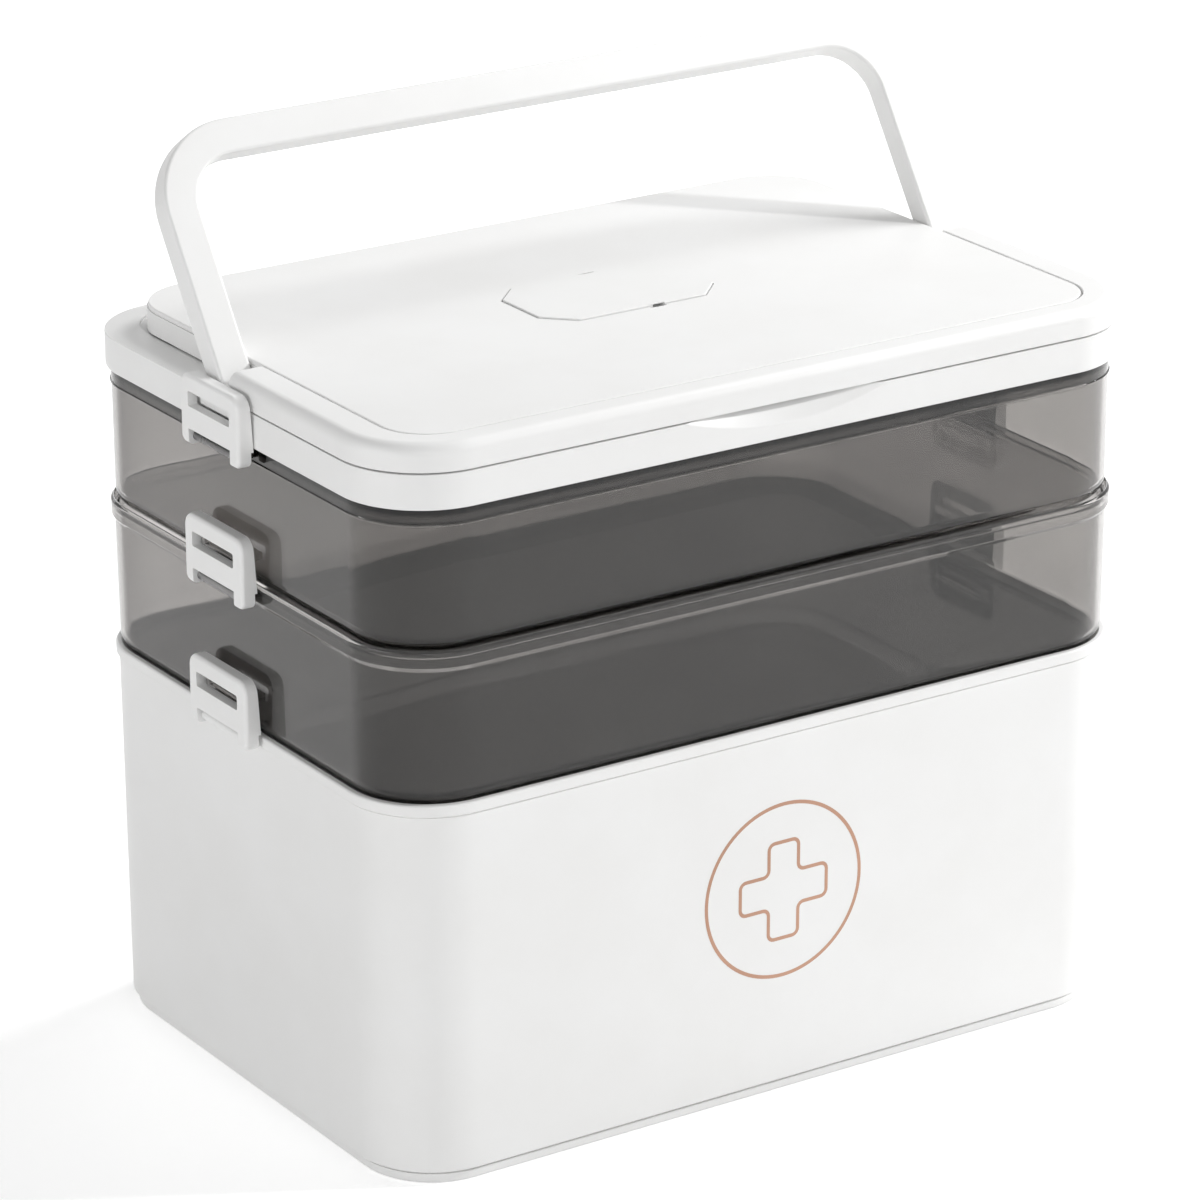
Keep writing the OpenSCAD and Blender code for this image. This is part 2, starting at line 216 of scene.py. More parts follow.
def bump_by(nodes, links, height, strength, depth):
    """Relief that follows the height, with its depth in millimetres."""
    bump = nodes.new("ShaderNodeBump")
    bump.inputs["Strength"].default_value = strength
    bump.inputs["Distance"].default_value = depth * MM
    links.new(height, bump.inputs["Height"])
    return bump.outputs["Normal"]


def moulded_plastic(name, light, dark, roughness, grain=0.5):
    """Opaque plastic: colour drifts from light to dark, roughness with the patches, bump with the grain."""
    material, nodes, links = new_material(name)
    skin = skin_on(nodes, links, nodes.new("ShaderNodeTexCoord"), 45, grain)
    colour = tint_by(nodes, links, skin.outputs["Mottle"], 0.35, 0.65, dark, light)
    gloss = range_by(nodes, links, skin.outputs["Patches"], 0.3, 0.7, roughness - 0.05, roughness + 0.06)
    relief = bump_by(nodes, links, skin.outputs["Grain"], 0.35, 0.012)
    surface = nodes["Principled BSDF"]
    surface.inputs["IOR"].default_value = 1.49
    links.new(colour, surface.inputs["Base Color"])
    links.new(gloss, surface.inputs["Roughness"])
    links.new(relief, surface.inputs["Normal"])
    return material


satin_white = moulded_plastic("satin_white", (0.83, 0.83, 0.825), (0.81, 0.808, 0.80), 0.42)

# Base box
# A deep white tub on a set-back foot ring, with a rim bead that the middle tray nests in.
# It is one injection moulding, so the walls draw in slightly towards the foot.
corner_steps = 20
smallest_corner = 0.4
merge_distance = 0.002
crease_angle = 32
lid_width = 325
lid_depth = 226
lid_radius = 33
wall_inset = 1.4
rim_inset = 0.2
base_rim_top = 146.7
base_rim_foot = 141.65
nest_depth = 3.5
nest_inset = 1.5
foot_inset = 4.0
wall_foot = 4.9
wall_foot_inset = 2.2
clip_hinge_x = 166.0
clip_hinge_z = {"lower": 145.1, "middle": 198.8, "upper": 251.4}
barrel_half = 13.9
barrel_radius = 1.8
web_top = 1.6
catch_half = 13
catch_low, catch_high = 11.9, 14.7
catch_set_back = 0.9
wall_bite = 1
clip_names = [(tier, side) for tier in clip_hinge_z for side in ("left", "right")]


def ring(width, depth, radius, z, centre_y, rear):
    """Points round a rounded rectangle at one height, counter-clockwise from above, in millimetres."""
    points = []
    for quarter in range(4):
        across = 1 if quarter in (0, 3) else -1
        along = 1 if quarter in (0, 1) else -1
        corner = rear if rear and along > 0 else radius
        x = across * (width / 2 - corner)
        y = centre_y + along * (depth / 2 - corner)
        for step in range(corner_steps + 1):
            angle = (quarter + step / corner_steps) * pi / 2
            points.append((x + corner * cos(angle), y + corner * sin(angle), z))
    return points


def rounded(corners, steps=5):
    """A section line through (inset, height, radius) corners, with each corner rounded to its radius."""
    line = [Vector(corners[0][:2])]
    for before, here, after in zip(corners, corners[1:], corners[2:]):
        corner, radius = Vector(here[:2]), here[2]
        if radius == 0:
            line.append(corner)
            continue
        back = (Vector(before[:2]) - corner).normalized()
        ahead = (Vector(after[:2]) - corner).normalized()
        half = back.angle(ahead) / 2
        centre = corner + (back + ahead).normalized() * radius / sin(half)
        first = corner + back * radius / tan(half) - centre
        last = corner + ahead * radius / tan(half) - centre
        start = atan2(first.y, first.x)
        sweep = (atan2(last.y, last.x) - start + pi) % (2 * pi) - pi
        for step in range(steps + 1):
            angle = start + sweep * step / steps
            line.append(centre + Vector((cos(angle), sin(angle))) * radius)
    line.append(Vector(corners[-1][:2]))
    return line


def box_rings(section, width=lid_width, depth=lid_depth, radius=lid_radius, centre_y=0.0, rear=None):
    """The section line carried round the box: each point is an inset from the outline and a height."""
    rings = []
    for inset, z in section:
        rings.append(ring(width - 2 * inset, depth - 2 * inset, max(radius - inset, smallest_corner),
                          z, centre_y, rear and max(rear - inset, smallest_corner)))
    return rings


def new_piece(name, mesh):
    """A mesh built in millimetres becomes an object in metres."""
    bmesh.ops.scale(mesh, vec=(MM, MM, MM), verts=mesh.verts)
    data = bpy.data.meshes.new(name)
    mesh.to_mesh(data)
    mesh.free()
    piece = bpy.data.objects.new(name, data)
    bpy.context.scene.collection.objects.link(piece)
    return piece


def loft(name, rings):
    """A closed solid through rings, from the middle of its underside to the middle of its upper side."""
    mesh = bmesh.new()
    loops = [[mesh.verts.new(point) for point in row] for row in rings]
    for near, far in zip(loops, loops[1:]):
        for i, vertex in enumerate(near):
            j = (i + 1) % len(near)
            mesh.faces.new((vertex, near[j], far[j], far[i]))
    mesh.faces.new(loops[0][::-1])
    mesh.faces.new(loops[-1])
    return new_piece(name, mesh)


def block(low, high):
    """A box between two corners, in millimetres."""
    mesh = bmesh.new()
    bmesh.ops.create_cube(mesh, size=1)
    size = Vector(high) - Vector(low)
    bmesh.ops.scale(mesh, vec=size, verts=mesh.verts)
    bmesh.ops.translate(mesh, vec=(Vector(high) + Vector(low)) / 2, verts=mesh.verts)
    return new_piece("tool", mesh)


def rod(start, end, radius, sides):
    """A round bar between two points, in millimetres."""
    start, end = Vector(start), Vector(end)
    mesh = bmesh.new()
    bmesh.ops.create_cone(mesh, cap_ends=True, segments=sides, radius1=radius, radius2=radius,
                          depth=(end - start).length)
    turn = (end - start).to_track_quat("Z", "Y").to_matrix()
    bmesh.ops.rotate(mesh, matrix=turn, verts=mesh.verts)
    bmesh.ops.translate(mesh, vec=(start + end) / 2, verts=mesh.verts)
    return new_piece("tool", mesh)


def settle(piece):
    """Turns a piece's modifiers into its mesh."""
    graph = bpy.context.evaluated_depsgraph_get()
    data = bpy.data.meshes.new_from_object(piece.evaluated_get(graph))
    piece.modifiers.clear()
    piece.data = data
    piece.data.name = piece.name


def weld(piece, tools, cut=False):
    """Joins tools to a piece, or cuts them out of it."""
    for tool in tools:
        step = piece.modifiers.new("weld", "BOOLEAN")
        step.operation = "DIFFERENCE" if cut else "UNION"
        step.solver = "EXACT"
        step.object = tool
    settle(piece)
    mesh = bmesh.new()
    mesh.from_mesh(piece.data)
    bmesh.ops.remove_doubles(mesh, verts=mesh.verts, dist=merge_distance * MM)
    bmesh.ops.dissolve_degenerate(mesh, edges=mesh.edges, dist=merge_distance * MM)
    mesh.to_mesh(piece.data)
    mesh.free()
    for tool in tools:
        bpy.data.objects.remove(tool)


def ease_edges(piece, width, segments=2, angle=38, where=None):
    """Rounds the sharp edges by a small radius: all of them, or those whose ends both pass a test."""
    mesh = bmesh.new()
    mesh.from_mesh(piece.data)
    edges = [edge for edge in mesh.edges
             if len(edge.link_faces) == 2 and edge.calc_face_angle() > radians(angle)
             and (where is None or all(where(vertex.co / MM) for vertex in edge.verts))]
    bmesh.ops.bevel(mesh, geom=edges, offset=width * MM, offset_type="OFFSET", segments=segments,
                    profile=0.5, affect="EDGES", clamp_overlap=False)
    mesh.to_mesh(piece.data)
    mesh.free()


def dress(piece, material, body, slot, *nodes):
    """Smooth shading with crisp creases, a material, and the piece's place in the frame."""
    piece.data.materials.clear()
    piece.data.materials.append(material)
    for face in piece.data.polygons:
        face.use_smooth = True
        face.material_index = 0
    piece.data.set_sharp_from_angle(angle=radians(crease_angle))
    even = piece.modifiers.new("even", "WEIGHTED_NORMAL")
    even.keep_sharp = True
    settle(piece)
    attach(piece, body)
    if nodes:
        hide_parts(*nodes)


def both_sides(make):
    """The same tool on the left and the right."""
    return [make(-1), make(1)]


def clip_lug(tier, wall, side):
    """Hinge barrel with its web, moulded on the wall under each clip."""
    z = clip_hinge_z[tier]
    x = sorted((side * (wall - wall_bite), side * clip_hinge_x))
    barrel = rod((side * clip_hinge_x, -barrel_half, z), (side * clip_hinge_x, barrel_half, z),
                 barrel_radius, 24)
    weld(barrel, [block((x[0], -barrel_half, z - barrel_radius), (x[1], barrel_half, z + web_top))])
    return barrel


def catch(tier, wall, side):
    """The nub that a clip's window closes over."""
    z = clip_hinge_z[tier]
    x = sorted((side * (wall - wall_bite), side * (clip_hinge_x - catch_set_back)))
    nub = block((x[0], -catch_half, z + catch_low), (x[1], catch_half, z + catch_high))
    ease_edges(nub, 0.5)
    return nub


# Foot ring and the undercut line above it, then up the outer wall, over the rim and down the inside.
base_section = rounded([
    (14, 1.5, 0), (8.6, 1.5, 0.6), (8.6, 0, 0.8), (foot_inset + 0.4, 0, 1.2), (foot_inset, 3.8, 0.3),
    (5.6, 3.8, 0.1), (5.6, wall_foot, 0.1), (wall_foot_inset, wall_foot, 1.0),
    (wall_inset, base_rim_foot, 0.15), (wall_inset + 0.35, base_rim_foot + 0.1, 0),
    (wall_inset + 0.35, base_rim_foot + 0.5, 0), (rim_inset, base_rim_foot + 0.6, 0.9),
    (rim_inset, base_rim_top, 0.9), (2.5, base_rim_top, 0.3),
    (3.6, base_rim_top - 1.3, 0.5), (5.5, base_rim_top - 2.8, 0.4), (5.5, 141, 0.3),
    (4.6, 139.5, 0.5), (6.0, 4.5, 6), (40, 4.5, 0),
])
base_box = loft("base_box", box_rings(base_section))
weld(base_box, both_sides(lambda side: clip_lug("lower", lid_width / 2, side)))
dress(base_box, satin_white, "base", "white_shell", "base_box")

# Trays
# Two see-through trays in smoke-tinted styrene, each a thin shell with rounded lower edges.
# The middle one has a rim band for the tray above, and the upper one a plain lap under the lid.
tray_wall = 2.2
middle_top = 204.0
middle_rim_foot = 196.5
lap_top = 256.4
lid_foot = 255.0
seal_foot = 249.6
lap_gap_half = 17.5


def smoke_plastic(name, shade_low=0.0):
    """Clear tinted plastic with a polish and faint flow waves; when shade_low is given, painted shade
    darkens the lap above it.
    """
    material, nodes, links = new_material(name)
    place = nodes.new("ShaderNodeTexCoord")
    skin = skin_on(nodes, links, place, 60, 0.5)
    tint = tint_by(nodes, links, skin.outputs["Mottle"], 0.3, 0.7,
                   (0.50, 0.485, 0.475), (0.56, 0.545, 0.53))
    slant = nodes.new("ShaderNodeLayerWeight")
    slant.inputs["Blend"].default_value = 0.42
    deepen = add_node(nodes, "ShaderNodeMix", data_type="RGBA")
    deepen.inputs["B"].default_value = (0.10, 0.094, 0.09, 1)
    links.new(slant.outputs["Facing"], deepen.inputs["Factor"])
    links.new(tint, deepen.inputs["A"])
    colour = deepen
    if shade_low:
        # Painted shade on the lap, from its foot up to the lid's foot: a thin dark line low down, then
        # darker and darker up under the lid's skirt, nearly black at the top.
        height = nodes.new("ShaderNodeSeparateXYZ")
        links.new(place.outputs["Object"], height.inputs["Vector"])
        climb = range_by(nodes, links, height.outputs["Z"], shade_low * MM, (lid_foot - 0.3) * MM, 0, 1)
        shade = nodes.new("ShaderNodeValToRGB")
        for place_on, value in ((0.04, 0.30), (0.14, 0.80), (0.50, 0.55), (0.68, 0.08)):
            mark = shade.color_ramp.elements.new(place_on)
            mark.color = (value, value, value, 1)
        shade.color_ramp.elements[0].color = (1, 1, 1, 1)
        shade.color_ramp.elements[-1].color = (0.08, 0.08, 0.08, 1)
        colour = add_node(nodes, "ShaderNodeMix", data_type="RGBA", blend_type="MULTIPLY")
        colour.inputs["Factor"].default_value = 1.0
        links.new(climb, shade.inputs["Fac"])
        links.new(deepen.outputs["Result"], colour.inputs["A"])
        links.new(shade.outputs["Color"], colour.inputs["B"])
    gloss = range_by(nodes, links, skin.outputs["Mottle"], 0.35, 0.75, 0.012, 0.035)
    waves = bump_by(nodes, links, skin.outputs["Mottle"], 0.04, 0.05)
    surface = nodes["Principled BSDF"]
    surface.inputs["Transmission Weight"].default_value = 1.0
    surface.inputs["IOR"].default_value = 1.42
    links.new(colour.outputs["Result"], surface.inputs["Base Color"])
    links.new(gloss, surface.inputs["Roughness"])
    links.new(waves, surface.inputs["Normal"])
    return material


smoke_clear = smoke_plastic("smoke_clear")
# The upper tray's copy has painted shade on its lap under the lid.
smoke_sealed = smoke_plastic("smoke_sealed", seal_foot)
middle_seat = base_rim_top - nest_depth
upper_seat = middle_top - nest_depth

# Each tray's section goes from the middle of its floor out, up the outer wall and down the inside.
middle_section = rounded([
    (30, middle_seat, 0), (wall_inset + 0.6, middle_seat, 8), (wall_inset, middle_rim_foot - 0.6, 0.3),
    (rim_inset, middle_rim_foot + 1.2, 0.8), (rim_inset, middle_top - 1.0, 1.0),
    (rim_inset + 0.9, middle_top, 0.4), (nest_inset, middle_top, 0.4),
    (nest_inset + 0.1, upper_seat, 0.3), (wall_inset + tray_wall, upper_seat, 0.4),
    (wall_inset + tray_wall + 0.3, middle_seat + tray_wall, 6), (30, middle_seat + tray_wall, 0),
])
middle_tray = loft("middle_tray", box_rings(middle_section))
weld(middle_tray, both_sides(lambda side: clip_lug("middle", lid_width / 2, side))
     + both_sides(lambda side: catch("lower", lid_width / 2 - wall_inset, side)))
dress(middle_tray, smoke_clear, "middle", "smoke_tray", "middle_tray")

upper_section = rounded([
    (30, upper_seat, 0), (wall_inset + 0.6, upper_seat, 8), (wall_inset + 0.5, seal_foot - 1.1, 0.2),
    (wall_inset, seal_foot - 0.8, 0.25), (wall_inset, seal_foot - 0.3, 0.25),
    (wall_inset + 0.4, seal_foot + 0.1, 0.1), (wall_inset + 0.3, lid_foot - 0.3, 0.05),
    (2.2, lid_foot - 0.2, 0.05), (2.2, lap_top, 0.2), (2.5, lap_top, 0), (2.5, seal_foot, 0),
    (3.1, seal_foot, 0), (3.1, lap_top, 0), (wall_inset + tray_wall, lap_top, 0.2),
    (wall_inset + tray_wall + 0.3, upper_seat + tray_wall, 6), (30, upper_seat + tray_wall, 0),
])
upper_tray = loft("upper_tray", box_rings(upper_section))
weld(upper_tray, both_sides(lambda side: clip_lug("upper", lid_width / 2 - wall_inset, side))
     + both_sides(lambda side: catch("middle", lid_width / 2 - wall_inset, side)))

# The lap stops on both sides where the handle's slots come down through the lid.
weld(upper_tray, both_sides(lambda side: block(
    (side * lid_width / 2 - lap_gap_half, -8, lid_foot - 0.3),
    (side * lid_width / 2 + lap_gap_half, 27, lap_top + 5))), cut=True)
dress(upper_tray, smoke_sealed, "upper", "smoke_tray", "upper_tray")

# Lid body
# The white lid: a skirt over the upper tray, a shallow well for small things, and the side
# ledges that the handle folds onto. One moulding, with the pivot and hinge lugs in it.
seam_z = 268.0
skirt_wall = 1.6
deck_wall = 2.2
ledge = 14.1
cover_back = 99.2
cover_width = lid_width - 2 * ledge
cover_radius = lid_radius - ledge
well = {"width": cover_width - 4.8, "depth": 198.0, "radius": 14.0, "centre_y": -6.0}
well_floor = 260.2
pivot_y = 15.6
pivot_z = 260.0
ear_low = lid_width / 2 - 11.1
ear_high = lid_width / 2 - 3.9
hinge_x = 95.0
hinge_y = cover_back - 3.0
hinge_z = 274.2
rear_radius = 24.0
trough = {"width": cover_width - 0.8, "depth": 180.0, "radius": rear_radius, "centre_y": 16.0}
trough_depth = 1.2
scoop_width = 84.0
scoop_depth = 7.0
scoop_slope = 1.4
scoop_back = -104.5
boss_x = 154.8
boss_half = 7.2
ear_slot_radius = 7.7
ear_clearance = 0.3
trough_front = 60
cover_lug_half = 3.5
cover_lug_radius = 2.3
# Farther out than any piece, for tools that cut off all on one side.
beyond = 200

# The lid's section goes under the well, down and up the skirt, and back over into the well.
tub_under = box_rings(rounded([
    (20, well_floor - 1.8, 0), (-2, well_floor - 1.8, 3), (-2, seam_z - deck_wall, 0)], 4), **well)
skirt = box_rings(rounded([
    (10, seam_z - deck_wall, 0), (4, seam_z - deck_wall, 0.3), (4, lap_top, 0.2),
    (skirt_wall, lap_top, 0.2), (skirt_wall, lid_foot, 0.5), (0, lid_foot, 0.8),
    (0, seam_z, 0.2), (6, seam_z, 0)], 4)[1:])
tub_inside = box_rings(rounded([
    (-4, seam_z, 0), (0, seam_z, 0.5), (0.4, well_floor, 3), (20, well_floor, 0)], 4)[1:], **well)
lid_body = loft("lid_body", tub_under + skirt + tub_inside)

# Solid bosses for the handle's slots and behind the finger scoop, and the tools that hollow them.
weld(lid_body, both_sides(lambda side: block(
    (side * boss_x - boss_half, -6, lid_foot), (side * boss_x + boss_half, 25, seam_z - 0.5)))
     + [block((-scoop_width / 2 - 4, -lid_depth / 2 + 0.6, lap_top + 0.3),
              (scoop_width / 2 + 4, scoop_back, seam_z - 0.5))])
scoop_radius = ((scoop_width / 2) ** 2 + scoop_depth ** 2) / (2 * scoop_depth)
scoop_z = seam_z - 0.4 - scoop_depth + scoop_radius
scoop_tool = rod((0, -lid_depth / 2 + 7, scoop_z), (0, -lid_depth / 2 - 5, scoop_z), scoop_radius, 360)
lean = Matrix.Translation((0, 0, scoop_slope * lid_depth / 2 * MM))
lean[2][1] = scoop_slope
scoop_tool.data.transform(lean)
slots = []
for side in (-1, 1):
    x = sorted((side * (ear_low - ear_clearance), side * (ear_high + ear_clearance)))
    slots.append(block((x[0], -2.4, lid_foot - 1), (x[1], 20.2, seam_z + 1)))
    slots.append(rod((x[0], pivot_y, pivot_z), (x[1], pivot_y, pivot_z), ear_slot_radius, 48))
trough_tool = loft("trough", box_rings([(0, seam_z - trough_depth), (0, seam_z + 5)], **trough))
weld(trough_tool, [block((-beyond, -beyond, beyond), (beyond, trough_front, 2 * beyond))], cut=True)
weld(lid_body, [scoop_tool, trough_tool] + slots, cut=True)

# The scoop's lips are the only sharp edges on the front face between these heights.
ease_edges(lid_body, 0.5, 3, 20, lambda place: place.y < -112.9 and 259 < place.z < 267.7)


def cover_lug(side):
    """Lug at the rear edge that carries the flip cover's pin."""
    low, high = side * hinge_x - cover_lug_half, side * hinge_x + cover_lug_half
    lug = rod((low, hinge_y, hinge_z), (high, hinge_y, hinge_z), cover_lug_radius, 28)
    weld(lug, [block((low, hinge_y - cover_lug_radius, seam_z - 2),
                     (high, hinge_y + cover_lug_radius, hinge_z))])
    return lug


weld(lid_body, both_sides(cover_lug) + both_sides(lambda side: catch("upper", lid_width / 2, side)))
dress(lid_body, satin_white, "lid", "white_shell", "lid_body")

# Flip cover
# The white cover over the well. Its front half spreads to the lid's outline as a rounded band,
# its rear half is a narrower block that the folded handle goes round. Hollow underneath.
lid_top = 278.7
cover_low = seam_z + 0.7
cover_end = -3.0
band_edge = 4.5
panel_wall = 1.9
panel_gap = 0.85
cover_wall = 2.0
cover_ceiling = lid_top - panel_wall - cover_wall
cover_depth = cover_back + lid_depth / 2 - cover_radius
cover_plan = {"width": cover_width, "depth": cover_depth, "radius": rear_radius,
              "centre_y": cover_back - cover_depth / 2}
panel_front = -101.3
panel_back = cover_back - 0.3
panel_plan = {"width": cover_width - 1.0, "depth": panel_back - panel_front,
              "radius": cover_radius - 0.5, "centre_y": (panel_back + panel_front) / 2,
              "rear": rear_radius}
pin_bore = 1.05
pin_bore_half = 12
knuckle_half = 13
lug_gap_half = 4

# The band of the front half, and the block behind it.
flip_cover = loft("flip_cover", box_rings(rounded([
    (30, cover_low, 0), (0, cover_low, 0), (0, lid_top, band_edge), (30, lid_top, 0)], 9)))
weld(flip_cover, [block((-beyond, cover_end, 0), (beyond, beyond, 2 * beyond))], cut=True)
spine = loft("spine", box_rings([
    (10, cover_low - 0.02), (0, cover_low - 0.02), (0, lid_top - panel_wall + 0.3),
    (10, lid_top - panel_wall + 0.3)], **cover_plan))
weld(flip_cover, [spine])

# The panel's seat on top, the hollows underneath, and knuckles left standing for the hinge pins.
seat = loft("seat", box_rings([
    (-panel_gap, lid_top - panel_wall), (-panel_gap, lid_top - 0.3),
    (-panel_gap - 0.3, lid_top + 0.1), (-panel_gap - 0.3, lid_top + 5)],
    **{**panel_plan, "rear": rear_radius - 4}))
hollow = loft("hollow", box_rings(rounded([
    (8, cover_low - 2, 0), (cover_wall, cover_low - 2, 0),
    (cover_wall, cover_ceiling, 2.5), (12, cover_ceiling, 0)], 4), **cover_plan))
wings = loft("wings", box_rings(rounded([
    (8, cover_low - 1, 0), (cover_wall, cover_low - 1, 0),
    (cover_wall, cover_ceiling, 2.5), (12, cover_ceiling, 0)], 4)))
weld(wings, [block((-beyond, cover_end - cover_wall, 0), (beyond, beyond, 2 * beyond))], cut=True)
knuckles = both_sides(lambda side: block(
    (side * hinge_x - knuckle_half, hinge_y - 3.2, hinge_z - 3.4),
    (side * hinge_x + knuckle_half, cover_back, lid_top)))
weld(hollow, knuckles, cut=True)
weld(flip_cover, [seat, hollow, wings], cut=True)

# Relief under the rear edge for the swing, gaps for the lid's lugs, and bores for the pins.
rear_relief = block((-beyond, hinge_y - 1.7, beyond), (beyond, beyond, cover_low + 0.9))
lug_gaps = both_sides(lambda side: block(
    (side * hinge_x - lug_gap_half, hinge_y - 4, beyond),
    (side * hinge_x + lug_gap_half, cover_back + 1, lid_top - panel_wall)))
bores = both_sides(lambda side: rod(
    (side * hinge_x - pin_bore_half, hinge_y, hinge_z),
    (side * hinge_x + pin_bore_half, hinge_y, hinge_z), pin_bore, 24))
weld(flip_cover, [rear_relief] + lug_gaps + bores, cut=True)

# The band's two ends.
ease_edges(flip_cover, 0.6, 3, 50,
           lambda place: abs(place.y - cover_end) < 0.1 and abs(place.x) > 148.9)
dress(flip_cover, satin_white, "cover", "white_shell", "flip_cover")

# Cover panel
# A flat white plate snapped into the flip cover, with a fine groove all round it.
# An octagonal recess holds the badge, and two slots let a fingernail lift it.
badge_width = 77.0
badge_depth = 47.0
badge_corner = 11.0
badge_wall = 1.2
badge_rise = 0.6
badge_y = 1.5
slot_x = 6.0
slot_size = (7.0, 2.4)


def soft_outline(corners, steps=6):
    """A closed outline through (across, along, radius) corners, each rounded to its radius."""
    points = []
    for i, here in enumerate(corners):
        points += rounded([corners[i - 1], here, corners[(i + 1) % len(corners)]], steps)[1:-1]
    return points


def prism(name, outline, low, high, axis="Z"):
    """A plate with the given outline, between two levels along the axis."""
    mesh = bmesh.new()
    lower, upper = [
        [mesh.verts.new((level, *point) if axis == "X" else (*point, level)) for point in outline]
        for level in (low, high)]
    mesh.faces.new(lower[::-1])
    mesh.faces.new(upper)
    for i in range(len(outline)):
        j = (i + 1) % len(outline)
        mesh.faces.new((lower[i], lower[j], upper[j], upper[i]))
    return new_piece(name, mesh)


def octagon(name, inset, low, high):
    """The badge's outline as a plate, made smaller all round by the inset."""
    x = badge_width / 2 - inset
    y = badge_depth / 2 - inset
    # A corner cut at 45 degrees shortens by 0.59 of the inset.
    corner = badge_corner - 0.59 * inset
    outline = [(x, y - corner), (x - corner, y), (corner - x, y), (-x, y - corner),
               (-x, corner - y), (corner - x, -y), (x - corner, -y), (x, corner - y)]
    return prism(name, soft_outline([(px, py + badge_y, 1.5) for px, py in outline], 3), low, high)


def pry_slot(end):
    """The slot at the badge's front (-1) or rear (1) edge."""
    y = badge_y + end * badge_depth / 2
    return block((slot_x - slot_size[0] / 2, y - slot_size[1] / 2, lid_top - panel_wall - 1),
                 (slot_x + slot_size[0] / 2, y + slot_size[1] / 2, lid_top + 2))


def pry_pocket(end, top):
    """The undercut behind a slot, where a fingernail gets under the plate's edge."""
    y = badge_y + end * badge_depth / 2
    return block((slot_x - 1.2, y, lid_top - 1.65), (slot_x + slot_size[0] / 2 - 0.1, y + 5.5, top))


cover_panel = loft("cover_panel", box_rings(rounded([
    (20, lid_top - panel_wall, 0), (0, lid_top - panel_wall, 0.2), (0, lid_top, 0.5),
    (20, lid_top, 0)], 5), **panel_plan))
weld(cover_panel, [octagon("recess", 0, lid_top - badge_wall, lid_top + 2), pry_slot(-1), pry_slot(1),
                   pry_pocket(1, lid_top - 0.25)], cut=True)
dress(cover_panel, satin_white, "cover", "white_shell", "cover_panel")

# Top badge
# A thin octagonal insert that stands just proud of the panel, left blank.
# It is moulded in a slightly greyer white and pressed into its recess.
badge_satin = moulded_plastic("badge_satin", (0.82, 0.82, 0.815), (0.80, 0.80, 0.79), 0.36, 0.35)
top_badge = octagon("top_badge", 0.55, lid_top - badge_wall, lid_top + badge_rise)
ease_edges(top_badge, 0.3, 3, 60)
weld(top_badge, [pry_slot(-1), pry_slot(1), pry_pocket(-1, lid_top + 0.25)], cut=True)
dress(top_badge, badge_satin, "cover", "badge_plate", "top_badge")

# Handle
# A one-piece white bail: two arms with rounded corners into the grip, oblong in section.
# Its ears go down through slots in the lid onto the pivot pins, and its feet stop it upright.
handle_angle = 56.1
bar_width = 13.3
bar_wall = 10.0
bar_edge = 1.3
arm_x = lid_width / 2 - 0.4 - bar_width / 2
grip_reach = 99.0 - bar_width / 2
bar_middle = 18.7 - bar_wall / 2
bend_radius = 26.0
arm_foot = -12
ear_radius = 7.4
ear_back = 3.4
pivot_bore = 2.05


def sweep_tree(name, facing=None):
    """Geometry nodes: a line of straight runs, its corners filleted, swept with an oblong section."""
    tree = bpy.data.node_groups.new(name, "GeometryNodeTree")
    made = tree.interface
    made.new_socket("Geometry", in_out="INPUT", socket_type="NodeSocketGeometry")
    for label in ("Width", "Thickness", "Edge", "Bend"):
        made.new_socket(label, in_out="INPUT", socket_type="NodeSocketFloat")
    for label in ("Bend Steps", "Edge Steps"):
        made.new_socket(label, in_out="INPUT", socket_type="NodeSocketInt")
    made.new_socket("Finish", in_out="INPUT", socket_type="NodeSocketMaterial")
    made.new_socket("Geometry", in_out="OUTPUT", socket_type="NodeSocketGeometry")
    nodes, links = tree.nodes, tree.links
    inside, outside = nodes.new("NodeGroupInput"), nodes.new("NodeGroupOutput")
    line = nodes.new("GeometryNodeMeshToCurve")
    bend = add_node(nodes, "GeometryNodeFilletCurve", mode="POLY")
    section = nodes.new("GeometryNodeCurvePrimitiveQuadrilateral")
    edge = add_node(nodes, "GeometryNodeFilletCurve", mode="POLY")
    swept = nodes.new("GeometryNodeCurveToMesh")
    links.new(inside.outputs["Bend Steps"], bend.inputs["Count"])
    links.new(inside.outputs["Edge Steps"], edge.inputs["Count"])
    swept.inputs["Fill Caps"].default_value = True
    finish = nodes.new("GeometryNodeSetMaterial")
    real = nodes.new("GeometryNodeRealizeInstances")
    links.new(inside.outputs["Geometry"], line.inputs["Mesh"])
    links.new(line.outputs["Curve"], bend.inputs["Curve"])
    links.new(inside.outputs["Bend"], bend.inputs["Radius"])
    links.new(inside.outputs["Width"], section.inputs["Width"])
    links.new(inside.outputs["Thickness"], section.inputs["Height"])
    links.new(section.outputs["Curve"], edge.inputs["Curve"])
    links.new(inside.outputs["Edge"], edge.inputs["Radius"])
    if facing:
        face = add_node(nodes, "GeometryNodeSetCurveNormal", mode="FREE")
        face.inputs["Normal"].default_value = facing
        links.new(bend.outputs["Curve"], face.inputs["Curve"])
        links.new(face.outputs["Curve"], swept.inputs["Curve"])
    else:
        links.new(bend.outputs["Curve"], swept.inputs["Curve"])
    links.new(edge.outputs["Curve"], swept.inputs["Profile Curve"])
    links.new(swept.outputs["Mesh"], real.inputs["Geometry"])
    links.new(real.outputs["Geometry"], finish.inputs["Geometry"])
    links.new(inside.outputs["Finish"], finish.inputs["Material"])
    links.new(finish.outputs["Geometry"], outside.inputs["Geometry"])
    return tree


def run_tree(piece, tree, **values):
    """Gives a tree its inputs by their sockets' identifiers, and turns the result into a mesh."""
    step = piece.modifiers.new(tree.name, "NODES")
    step.node_group = tree
    for item in tree.interface.items_tree:
        if item.in_out == "INPUT" and item.name in values:
            step[item.identifier] = values[item.name]
    settle(piece)


